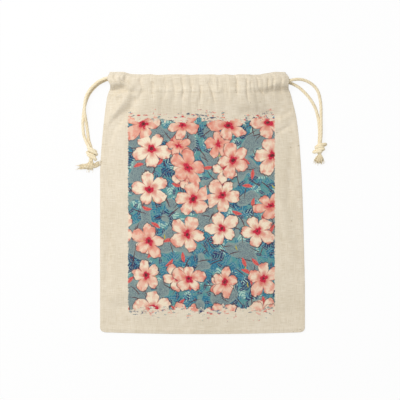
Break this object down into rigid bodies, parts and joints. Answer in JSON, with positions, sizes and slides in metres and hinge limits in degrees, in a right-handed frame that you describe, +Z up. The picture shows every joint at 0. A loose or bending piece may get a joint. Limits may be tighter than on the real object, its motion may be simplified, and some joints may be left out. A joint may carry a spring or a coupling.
{
  "type": "drawstring bread bag",
  "caption": "Flat-lying cotton canvas bag with a gathered casing at its mouth and a knotted drawcord at each side.",
  "frame": {"origin": "under the middle of the bag, on the surface that its back panel lies on", "axes": "+Y from the bottom seam to the mouth, +Z up out of the printed front panel, +X to the right of the print"},
  "size_m": [0.3589, 0.38, 0.0232],
  "materials": {
    "printed_canvas": "natural cotton canvas with a floral print on the outside",
    "plain_canvas": "natural cotton canvas, unbleached",
    "cotton_cord": "twisted cotton cord, cream",
    "cotton_knot": "knotted cotton cord with frayed tails"
  },
  "bodies": {
    "root": {"front_panel": "printed_canvas", "back_panel": "plain_canvas", "left_drawcord": "cotton_cord", "right_drawcord": "cotton_cord", "left_knot": "cotton_knot", "right_knot": "cotton_knot"}
  },
  "joints": []
}
